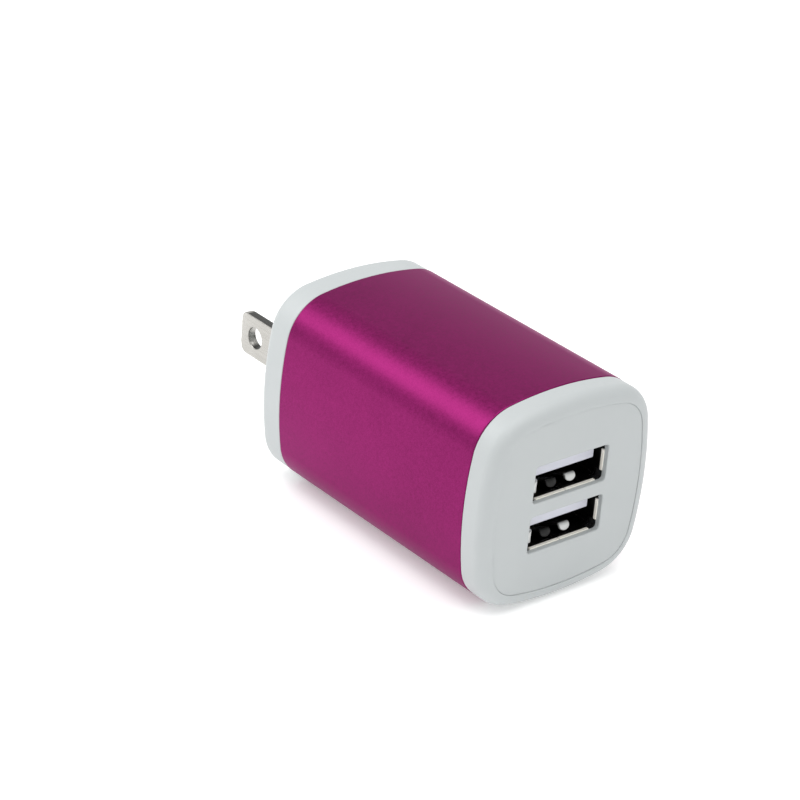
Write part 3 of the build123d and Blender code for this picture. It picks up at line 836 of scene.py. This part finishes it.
def make_port_end_cap():
    """The white ring: rounded outside, with a pocket for the face plate, a web and a spigot."""
    piece = start_section("port_ring", CAP_SETBACK, FRONT_Y, PORT_JOINT_Y)
    enter_edit(piece)
    pick("edges", edge_at(FRONT_Y))
    bevel(PORT_EDGE_RADIUS, 12)
    pick("edges", edge_at(PORT_JOINT_Y))
    bevel(JOINT_CHAMFER, 3)
    pick("faces", face_at(FRONT_Y))
    bpy.ops.mesh.inset(thickness=PLATE_INSET - CAP_SETBACK - PORT_EDGE_RADIUS, use_even_offset=True)
    pocket = plate_high.y - FRONT_Y
    extrude_faces(pocket)
    pick("edges", lambda edge: edge_at(FRONT_Y)(edge) and inside_plate(edge))
    bevel(POCKET_EDGE, 4)
    pick("faces", face_at(PORT_JOINT_Y))
    bpy.ops.mesh.inset(thickness=SPIGOT_INSET - CAP_SETBACK - JOINT_CHAMFER, use_even_offset=True)
    extrude_faces(SPIGOT_LENGTH)
    bpy.ops.mesh.inset(thickness=SPIGOT_WALL, use_even_offset=True)
    extrude_faces(plate_high.y + PORT_WEB - (PORT_JOINT_Y + SPIGOT_LENGTH))
    leave_edit()
    for z in SOCKETS.values():
        width, height = SHELL_WIDTH + WEB_HOLE_SLACK, SHELL_HEIGHT + WEB_HOLE_SLACK
        front, rear = plate_high.y - MM, plate_high.y + PORT_WEB + MM
        cut(piece, window_cutter(z, width, height, WEB_HOLE_CORNER, front, rear))
    piece.data.materials.append(FINISHES["white_plastic"])
    # The hole walls in the web get the dark housing plastic as painted shade.
    piece.data.materials.append(FINISHES["inner_plastic"])
    enter_edit(piece, "FACE")
    pick("faces", shaded_hole_wall)
    piece.active_material_index = 1
    bpy.ops.object.material_slot_assign()
    leave_edit()
    return finish_piece(piece, FINISHES["white_plastic"], "white_plastic", "port_end_cap")


def shaded_hole_wall(face):
    """True for the walls of the two holes behind the face plate, which get the dark housing plastic as
    painted shade.
    """
    middle = face.calc_center_median()
    in_web = plate_high.y - 0.01 * MM < middle.y < plate_high.y + PORT_WEB + 0.01 * MM
    near_shell = abs(middle.x) < SHELL_WIDTH / 2 + MM and abs(middle.z - AXIS_Z) < SHELL_WIDTH / 2 + MM
    return in_web and near_shell and abs(face.normal.y) < 0.5


def inside_plate(edge):
    """True for an edge of the plate's pocket, nearer to the axis than the rounded edge."""
    limit = BODY_HALF - PLATE_INSET + 0.02 * MM
    return all(abs(vert.co.x) < limit and abs(vert.co.z - AXIS_Z) < limit for vert in edge.verts)


def make_face_plate():
    """The flat plate in the port end, with two windows whose edges are eased."""
    piece = start_section("port_plate", PLATE_INSET + PLATE_GAP, plate_low.y, plate_high.y)
    enter_edit(piece)
    pick("edges", edge_at(plate_low.y))
    bevel(PLATE_EDGE, 3)
    leave_edit()
    for z in SOCKETS.values():
        front, rear = plate_low.y - MM, plate_high.y + MM
        cut(piece, window_cutter(z, WINDOW_WIDTH, WINDOW_HEIGHT, WINDOW_CORNER, front, rear))
    enter_edit(piece)
    reach = WINDOW_WIDTH / 2 + 1e-6

    def window_edge(edge):
        if not edge_at(plate_low.y)(edge) or len(edge.link_faces) != 2:
            return False
        return any(abs(face.normal.y) < 0.1 for face in edge.link_faces) and all(
            abs(vert.co.x) < reach for vert in edge.verts
        )

    pick("edges", window_edge)
    bevel(WINDOW_EDGE, 3)
    leave_edit()
    return finish_piece(piece, FINISHES["white_plastic"], "white_plastic", "port_face_plate")


def make_plug_end_cap():
    """The white cap that carries the blades, each in a close slot with an eased mouth."""
    piece = start_section("plug_cap", CAP_SETBACK, PLUG_JOINT_Y, REAR_Y)
    enter_edit(piece)
    pick("edges", edge_at(REAR_Y))
    bevel(PLUG_EDGE_RADIUS, 10)
    pick("edges", edge_at(PLUG_JOINT_Y))
    bevel(JOINT_CHAMFER, 3)
    pick("faces", face_at(PLUG_JOINT_Y))
    bpy.ops.mesh.inset(thickness=SPIGOT_INSET - CAP_SETBACK - JOINT_CHAMFER, use_even_offset=True)
    extrude_faces(plug_low.y - PLUG_JOINT_Y)
    bpy.ops.mesh.inset(thickness=SPIGOT_WALL, use_even_offset=True)
    extrude_faces(REAR_Y - PLUG_WALL - plug_low.y)
    leave_edit()
    reach_x, reach_z = BLADE_THICKNESS / 2 + SLOT_SLACK, BLADE_WIDTH / 2 + SLOT_SLACK
    for x in BLADE_PLACES:
        low = (x - reach_x, REAR_Y - PLUG_WALL - MM, AXIS_Z - reach_z)
        high = (x + reach_x, REAR_Y + MM, AXIS_Z + reach_z)
        cut(piece, start_block("slot", low, high))
    enter_edit(piece)

    def slot_mouth(edge):
        if not edge_at(REAR_Y)(edge):
            return False
        height = BLADE_WIDTH / 2 + 2 * SLOT_SLACK
        in_height = all(abs(vert.co.z - AXIS_Z) < height for vert in edge.verts)
        return in_height and all(
            min(abs(vert.co.x - x) for x in BLADE_PLACES) < BLADE_THICKNESS for vert in edge.verts
        )

    pick("edges", slot_mouth)
    bevel(SLOT_EDGE, 2)
    leave_edit()
    return finish_piece(piece, FINISHES["white_plastic"], "white_plastic", "plug_end_cap")


# ---- plug blades ----
BLADE_PLACES = [sum(corner.x for corner in node_box(name)) / 2 for name in ("blade_neutral", "blade_line")]


def make_blade():
    """One blade on the body's axis: rounded corners, thinned tip, detent hole and eased edges."""
    half, width = BLADE_THICKNESS / 2, BLADE_WIDTH / 2
    start = REAR_Y - PLUG_WALL
    piece = start_block("blade", (-half, start, AXIS_Z - width), (half, blade_high.y, AXIS_Z + width))
    enter_edit(piece)

    def tip_corner(edge):
        return edge_at(blade_high.y)(edge) and abs(edge.verts[0].co.x - edge.verts[1].co.x) > half

    pick("edges", tip_corner)
    bevel(BLADE_TIP_RADIUS, 8)
    leave_edit()
    taper_start = blade_high.y - BLADE_TIP_TAPER
    enter_edit(piece)
    bpy.ops.mesh.select_all(action="SELECT")
    bpy.ops.mesh.bisect(plane_co=(0, taper_start, 0), plane_no=(0, 1, 0))
    pick("verts", lambda vert: vert.co.y > taper_start + 1e-7)
    mesh = bmesh.from_edit_mesh(piece.data)
    for vert in mesh.verts:
        if vert.select:
            along = (vert.co.y - taper_start) / BLADE_TIP_TAPER
            vert.co.x *= 1 - TIP_THINNING * along**TIP_CURVE
    bmesh.update_edit_mesh(piece.data)
    leave_edit()
    bpy.ops.object.select_all(action="DESELECT")
    hole_place = (0, REAR_Y + BLADE_HOLE_DISTANCE, AXIS_Z)
    bpy.ops.mesh.primitive_cylinder_add(
        vertices=48, radius=BLADE_HOLE / 2, depth=4 * MM, location=hole_place, rotation=(0, math.pi / 2, 0)
    )
    bpy.ops.object.transform_apply(location=True, rotation=True, scale=True)
    cut(piece, bpy.context.object)
    ease_edges(piece, BLADE_EDGE, 3, 40)
    shoulder_start = start - SHOULDER_DEPTH
    shoulder = start_block("shoulder", (-half, shoulder_start, blade_low.z), (half, start, blade_high.z))
    tail_low = (-half, blade_low.y, AXIS_Z - TAIL_REACH)
    tail = start_block("tail", tail_low, (half, shoulder_start, AXIS_Z + TAIL_REACH))
    return join(piece, shoulder, tail)


# ---- sockets ----
def make_finger():
    """A spring finger on the bottom wall of the upper socket: long rear slope, crest, rounded free tip."""
    tip_y = upper_low.y + BOTTOM_FINGER_START
    level = SOCKETS["upper"] - SHELL_HEIGHT / 2 + SHELL_SHEET / 2
    root = Vector((0, tip_y + FINGER_LENGTH, level))
    crest = Vector((0, tip_y + FINGER_CREST, level + FINGER_RISE))
    tip = Vector((0, tip_y, level + FINGER_LIFT))
    rear_slope = (crest - root).normalized()
    front_slope = (tip - crest).normalized()
    turn = rear_slope.angle(front_slope)
    tangent = FINGER_BEND * math.tan(turn / 2)
    arc_start = crest - rear_slope * tangent
    arc_end = crest + front_slope * tangent
    arc_centre = arc_start + Vector((0, rear_slope.z, -rear_slope.y)) * -FINGER_BEND
    leave_edit()
    bpy.ops.object.select_all(action="DESELECT")
    bpy.ops.mesh.primitive_plane_add(size=FINGER_WIDTH)
    piece = bpy.context.object
    piece.name = "finger"
    enter_edit(piece)
    pick("verts", lambda vert: vert.co.y > 0)
    bpy.ops.mesh.delete(type="VERT")
    bpy.ops.mesh.select_all(action="SELECT")
    move(0, root.y + FINGER_WIDTH / 2, root.z)
    extrude_edge(arc_start - root)
    bpy.ops.mesh.spin(steps=8, angle=turn, center=arc_centre, axis=(-1, 0, 0))
    front_length = (tip - arc_end).length
    half_width = FINGER_WIDTH / 2
    extrude_edge(front_slope * max(front_length - TIP_ROUND, 0.01 * MM))
    width = half_width
    for step in range(1, TIP_STEPS + 1):
        angle = math.pi / 2 * step / TIP_STEPS
        before = math.sin(angle - math.pi / 2 / TIP_STEPS)
        extrude_edge(front_slope * TIP_ROUND * (math.sin(angle) - before))
        new_width = max(half_width * math.cos(angle), half_width * TIP_LEAST)
        bpy.ops.transform.resize(value=(new_width / width, 1, 1))
        width = new_width
    leave_edit()
    apply_modifier(piece, "SOLIDIFY", thickness=SHELL_SHEET, offset=0.0)
    ease_edges(piece, FINGER_EDGE, 2, 50)
    return piece


def extrude_edge(step):
    bpy.ops.mesh.extrude_region_move(TRANSFORM_OT_translate={"value": step})


def finger_slot(x):
    """The slot in the bottom wall that a finger was pressed from."""
    low_z = SOCKETS["upper"] - SHELL_HEIGHT / 2 - SHELL_SHEET
    start = upper_low.y + BOTTOM_FINGER_START - FINGER_SLOT
    reach = FINGER_WIDTH / 2 + FINGER_SLOT
    low = (x - reach, start, low_z)
    high = (x + reach, start + FINGER_LENGTH + FINGER_SLOT, low_z + 3 * SHELL_SHEET)
    return start_block("finger_slot", low, high)


def to_left_wall(piece):
    """Turns a bottom-wall shape round the socket's axis onto the left wall, below the tongue."""
    forward = SIDE_FINGER_START - BOTTOM_FINGER_START
    outward = (SHELL_HEIGHT - SHELL_WIDTH) / 2
    middle = Matrix.Translation((0, 0, SOCKETS["upper"]))
    wall_shift = Matrix.Translation((SIDE_FINGER_DROP, forward, outward))
    turn = Matrix.Rotation(math.pi / 2, 4, "Y")
    piece.data.transform(middle @ turn @ wall_shift @ middle.inverted())
    return piece


def make_shell():
    """The folded sheet-metal sleeve of a socket, made at the upper socket's height."""
    z = SOCKETS["upper"]
    front, rear = upper_low.y, upper_low.y + SHELL_DEPTH
    half_x, half_z = SHELL_WIDTH / 2, SHELL_HEIGHT / 2
    piece = start_block("shell", (-half_x, front, z - half_z), (half_x, rear, z + half_z))
    round_along(piece, 1, SHELL_CORNER, 5)
    enter_edit(piece)
    pick("faces", lambda face: abs(face.normal.y) > 0.9)
    bpy.ops.mesh.delete(type="FACE")
    bpy.ops.mesh.select_all(action="SELECT")
    bpy.ops.mesh.normals_make_consistent(inside=False)
    leave_edit()
    apply_modifier(piece, "SOLIDIFY", thickness=SHELL_SHEET, offset=-1.0, use_even_offset=True)
    for side in (-1, 1):
        for end in (-1, 1):
            corner = Vector((side * half_x, front, z + end * half_z))
            reach = Vector((SHELL_NOTCH, SHELL_NOTCH, SHELL_NOTCH))
            notch = start_block("notch", corner - reach, corner + reach)
            round_along(notch, 0, NOTCH_CORNER, 4)
            cut(piece, notch)
    middle = Vector((0, front + SHELL_DEPTH / 2, z - half_z + SHELL_SHEET / 2))
    reach = Vector((SHELL_SEAM / 2, SHELL_DEPTH / 2 + 1.5 * MM, SHELL_SHEET))
    cut(piece, start_block("seam", middle - reach, middle + reach))
    for side in (-1, 1):
        cut(piece, finger_slot(side * BOTTOM_FINGER_OFFSET))
    cut(piece, to_left_wall(finger_slot(0)))
    ease_edges(piece, SHELL_EDGE, 2, 50)
    piece.data.materials.append(FINISHES["socket_steel"])
    finger = make_finger()
    # The bottom finger on the -X side gets the near-black copy as painted shade; the others get the lit
    # one.
    for side, finger_shading in ((-1, shaded_finger), (1, lit_finger)):
        bottom = duplicate(finger, "bottom_finger", side * BOTTOM_FINGER_OFFSET)
        bottom.data.materials.append(finger_shading)
        join(piece, bottom)
    finger.data.materials.append(lit_finger)
    join(piece, to_left_wall(finger))
    for side in (-1, 1):
        outer = side * half_x
        inner = side * (half_x - SHELL_SHEET)
        low = (min(outer, inner), rear, z - LEG_WIDTH / 2)
        high = (max(outer, inner), upper_high.y, z + LEG_WIDTH / 2)
        leg = start_block("leg", low, high)
        enter_edit(leg)
        pick("edges", level_edge_at(upper_high.y))
        bevel(LEG_CORNER, 3)
        leave_edit()
        join(piece, leg)
    return piece


def tongue_under():
    """Height of the tongue's underside in the upper socket."""
    return SOCKETS["upper"] + SHELL_HEIGHT / 2 - SHELL_SHEET - TONGUE_DROP - TONGUE_THICKNESS


def make_insert():
    """The plastic tongue and the block behind it, with channels for the contacts."""
    z = SOCKETS["upper"]
    half_x, half_z = insert_high.x, (insert_high.z - insert_low.z) / 2
    under = tongue_under()
    base = start_block(
        "insert", (-half_x, FRONT_Y + SOCKET_DEPTH, z - half_z), (half_x, insert_high.y, z + half_z)
    )
    round_along(base, 1, INSERT_CORNER, 3)
    tongue = start_block(
        "tongue",
        (-TONGUE_WIDTH / 2, insert_low.y, under),
        (TONGUE_WIDTH / 2, FRONT_Y + SOCKET_DEPTH, under + TONGUE_THICKNESS),
    )
    enter_edit(tongue)
    pick("edges", level_edge_at(insert_low.y))
    bevel(TONGUE_CHAMFER, 1)
    leave_edit()
    for x in CONTACT_PLACES:
        reach = CONTACT_WIDTH / 2 + CHANNEL_SLACK
        low = (x - reach, strip_low.y - 0.05 * MM, under - 0.2 * MM)
        high = (x + reach, FRONT_Y + SOCKET_DEPTH + MM, strip_high.z + 0.02 * MM)
        cut(tongue, start_block("channel", low, high))
    ease_edges(tongue, TONGUE_EDGE, 2, 40)
    return join(base, tongue)


def lower_nose(edge):
    """True for the lower front edge of a contact."""
    return edge_at(strip_low.y)(edge) and all(near(vert.co.z, strip_low.z) for vert in edge.verts)


def make_contact_set():
    """Four flat contacts with turned-up noses."""
    first = None
    for x in CONTACT_PLACES:
        low = (x - CONTACT_WIDTH / 2, strip_low.y, strip_low.z)
        high = (x + CONTACT_WIDTH / 2, strip_high.y, strip_high.z)
        strip = start_block("contact", low, high)
        enter_edit(strip)
        pick("edges", lower_nose)
        bevel(CONTACT_NOSE, 4)
        leave_edit()
        ease_edges(strip, CONTACT_EDGE, 2, 40)
        first = join(first, strip) if first else strip
    return first


# ---- the pieces ----
make_sleeve()
make_port_end_cap()
make_face_plate()
make_plug_end_cap()

blade = make_blade()
for name, x in zip(("blade_neutral", "blade_line"), BLADE_PLACES):
    copy = duplicate(blade, "plug_" + name, x)
    finish_piece(copy, FINISHES["nickel_plate"], "nickel_plate", name)
bpy.data.objects.remove(blade, do_unlink=True)

drop = SOCKETS["lower"] - SOCKETS["upper"]
for maker, part, slot in (
    (make_shell, "shell", "socket_steel"),
    (make_insert, "insulator", "socket_plastic"),
    (make_contact_set, "contacts", "gold_contact"),
):
    upper = maker()
    upper.name = "upper_socket_" + part
    lower = duplicate(upper, "lower_socket_" + part, z=drop)
    finish_piece(upper, FINISHES[slot], slot, "usb_upper_" + part)
    finish_piece(lower, FINISHES[slot], slot, "usb_lower_" + part)

# ---- carried-over CAD nodes ----
slot_of = {entry["node"]: entry["material_slot"] for entry in frame["record"]["subparts"]}
for name, node in frame["nodes"].items():
    node.data.materials.clear()
    node.data.materials.append(FINISHES[slot_of[name]])
